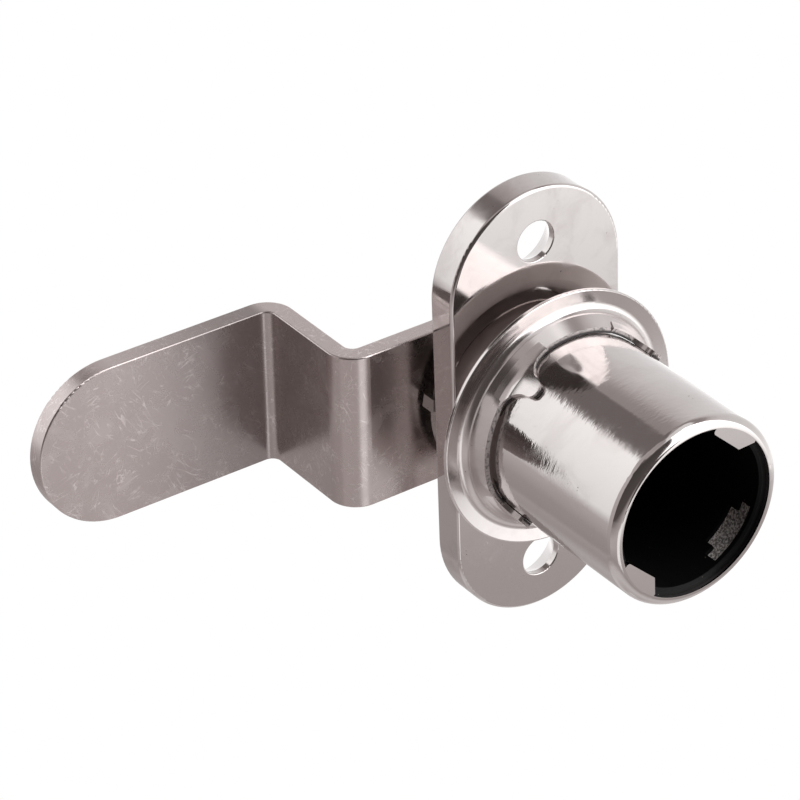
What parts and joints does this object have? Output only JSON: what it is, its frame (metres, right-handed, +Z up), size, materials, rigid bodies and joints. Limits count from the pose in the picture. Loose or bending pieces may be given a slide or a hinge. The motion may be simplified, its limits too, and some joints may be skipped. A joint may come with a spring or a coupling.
{
  "type": "furniture lock",
  "caption": "Screw-on furniture lever lock housing: oval plate, bright tube for a removable core, push-on collar and a cranked cam that makes a quarter turn.",
  "frame": {"origin": "where the tube's axis meets the front face of the mounting plate, midway between the two screw holes", "axes": "-Y out of the tube's mouth, towards the user; +Y into the furniture; +Z up along the plate's long side; the cam reaches towards -X at rest"},
  "size_m": [0.0537, 0.0409, 0.0432],
  "materials": {
    "plated_casting": "polished nickel plate on die-cast zinc",
    "plated_sleeve": "bright nickel plate on drawn brass",
    "plated_collar": "bright nickel plate on pressed steel",
    "black_liner": "moulded black",
    "bronze_washer": "plain bronze",
    "driver_zinc": "bare die-cast zinc",
    "washer_steel": "zinc-plated steel",
    "spring_steel": "hardened spring steel",
    "cam_steel": "satin nickel plate on steel, finely scratched",
    "screw_steel": "zinc-plated steel"
  },
  "bodies": {
    "lock_body": {"housing": "plated_casting", "barrel_sleeve": "plated_sleeve", "bore_liner": "black_liner", "thrust_washer": "bronze_washer"},
    "cam_train": {"driver": "driver_zinc", "stop_washer": "washer_steel", "disc_spring": "spring_steel", "cam": "cam_steel", "cam_washer": "washer_steel", "lock_washer": "spring_steel", "cam_screw": "screw_steel"},
    "collar": {"collar": "plated_collar"}
  },
  "joints": [
    {"name": "cam_turn", "type": "hinge", "parent": "lock_body", "child": "cam_train", "pos_m": [0, 0, 0], "axis": [0, 1, 0], "range_deg": [-1.1, 88.9]},
    {"name": "collar_slide", "type": "slide", "parent": "lock_body", "child": "collar", "axis": [0, -1, 0], "range_m": [-0.002, 0.0137]}
  ]
}
